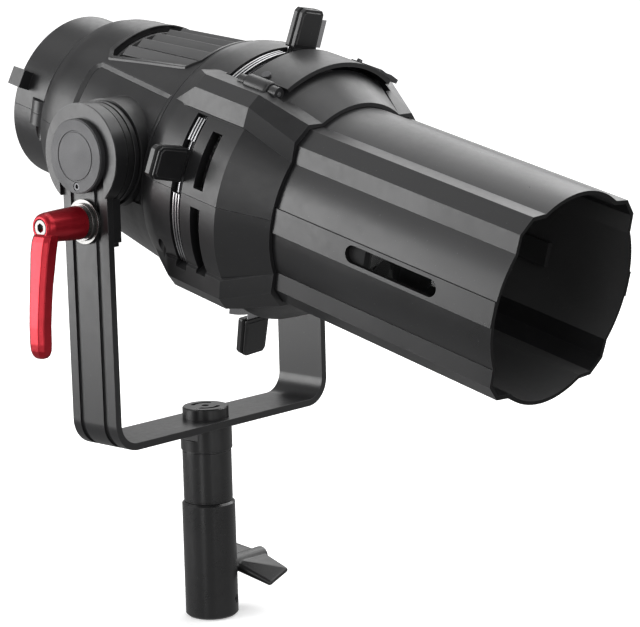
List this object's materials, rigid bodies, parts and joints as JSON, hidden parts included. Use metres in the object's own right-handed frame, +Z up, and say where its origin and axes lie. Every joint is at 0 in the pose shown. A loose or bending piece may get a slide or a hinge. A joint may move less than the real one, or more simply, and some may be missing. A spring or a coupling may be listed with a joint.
{
  "type": "ellipsoidal spotlight",
  "caption": "Theatre projection spotlight head on a grooved U yoke: shutter blades, gobo door, focusing lens barrel, bayonet rear for a light engine, tilt clamp lever and stand receiver.",
  "frame": {"origin": "centre of the stand socket's mouth, at the bottom of the receiver", "axes": "+Z up along the socket, -Y towards the beam, X along the tilt axis with the red clamp lever on the -X side"},
  "size_m": [0.222, 0.3844, 0.3558],
  "materials": {
    "housing": "die cast, satin black paint",
    "louvre": "die cast, satin black paint",
    "barrel": "moulded, satin black",
    "zinc_screw": "zinc plated",
    "optic": "clear, polished",
    "baffle_black": "matt black anodised",
    "bright_steel": "bright stainless",
    "dark_steel": "blackened",
    "grip_plastic": "moulded, fine grain",
    "yoke_black": "satin black powder coat",
    "fibre": "pressed fibre",
    "cap_grey": "cast, dark grey",
    "zinc": "turned, zinc plated",
    "lever_red": "red anodised",
    "black_steel": "satin black",
    "receiver_black": "satin black, turned"
  },
  "bodies": {
    "stand": {"yoke": "yoke_black", "yoke_end_left": "yoke_black", "yoke_end_right": "yoke_black", "clamp_plate": "yoke_black", "friction_washer_left": "fibre", "friction_washer_right": "fibre", "pivot_bolts": "bright_steel", "pivot_caps": "cap_grey", "cap_screws": "dark_steel", "lever_washer_large": "zinc", "lever_washer_small": "zinc", "yoke_bolt": "black_steel", "yoke_collar": "black_steel", "spigot_neck": "black_steel", "stand_receiver": "receiver_black", "receiver_screw": "dark_steel"},
    "head": {"rear_shell_upper": "housing", "rear_shell_lower": "housing", "vent_louvres": "louvre", "gate_housing_upper": "housing", "gate_housing_lower": "housing", "housing_screws": "zinc_screw", "condenser_lens": "optic", "condenser_ring": "baffle_black", "field_lens": "optic", "field_ring": "baffle_black", "shutter_guides": "bright_steel", "door_hinge_pin": "bright_steel", "lens_barrel": "barrel", "rear_objective": "optic", "rear_lens_ring": "baffle_black", "trunnion_left": "housing", "trunnion_right": "housing", "brake_disc": "bright_steel"},
    "shutter_left": {"blade_left": "bright_steel", "grip_left": "grip_plastic"},
    "shutter_right": {"blade_right": "bright_steel", "grip_right": "grip_plastic"},
    "shutter_top": {"blade_top": "bright_steel", "grip_top": "grip_plastic"},
    "shutter_bottom": {"blade_bottom": "bright_steel", "grip_bottom": "grip_plastic"},
    "door": {"gobo_door": "housing", "door_latch": "dark_steel", "door_screw": "dark_steel"},
    "focus": {"focus_carriage": "baffle_black", "front_objective": "optic", "front_lens_ring": "baffle_black", "focus_stud": "bright_steel"},
    "knob": {"focus_knob": "grip_plastic"},
    "lever_core": {"lever_insert": "zinc", "lever_screw": "zinc_screw", "lever_spring": "bright_steel"},
    "lever": {"lever_handle": "lever_red"},
    "t_screw": {"t_stud": "dark_steel", "t_wing": "black_steel"}
  },
  "joints": [
    {"name": "head_tilt", "type": "hinge", "parent": "stand", "child": "head", "pos_m": [0, 0, 0.279], "axis": [1, 0, 0], "range_deg": [-100, 35]},
    {"name": "shutter_left_slide", "type": "slide", "parent": "head", "child": "shutter_left", "axis": [-0.9848, -0.0426, 0.1683], "range_m": [0, 0.032]},
    {"name": "shutter_right_slide", "type": "slide", "parent": "head", "child": "shutter_right", "axis": [0.9976, -0.0171, 0.0676], "range_m": [0, 0.032]},
    {"name": "shutter_top_slide", "type": "slide", "parent": "head", "child": "shutter_top", "axis": [0.1219, -0.2435, 0.9622], "range_m": [0, 0.032]},
    {"name": "shutter_bottom_slide", "type": "slide", "parent": "head", "child": "shutter_bottom", "axis": [0.0698, 0.2447, -0.9671], "range_m": [-0.01, 0.022]},
    {"name": "door_hinge", "type": "hinge", "parent": "head", "child": "door", "pos_m": [-0.0431, -0.09283, 0.31565], "axis": [0, -0.9694, -0.2453], "range_deg": [0, 100]},
    {"name": "focus_slide", "type": "slide", "parent": "head", "child": "focus", "axis": [0, -0.9694, -0.2453], "range_m": [0, 0.035]},
    {"name": "focus_knob_turn", "type": "hinge", "parent": "focus", "child": "knob", "pos_m": [0.06, -0.16749, 0.23445], "axis": [1, 0, 0], "range_deg": [-180, 180]},
    {"name": "lever_turn", "type": "hinge", "parent": "stand", "child": "lever_core", "pos_m": [-0.09, 0, 0.243], "axis": [1, 0, 0], "range_deg": [-10, 150]},
    {"name": "lever_pull", "type": "slide", "parent": "lever_core", "child": "lever", "axis": [-1, 0, 0], "range_m": [0, 0.005], "stiffness_N_per_m": 600, "springref_m": -0.004, "deforming": ["lever_spring"]},
    {"name": "t_screw_turn", "type": "hinge", "parent": "stand", "child": "t_screw", "pos_m": [0.02, 0, 0.0255], "axis": [1, 0, 0], "range_deg": [-180, 180]}
  ]
}
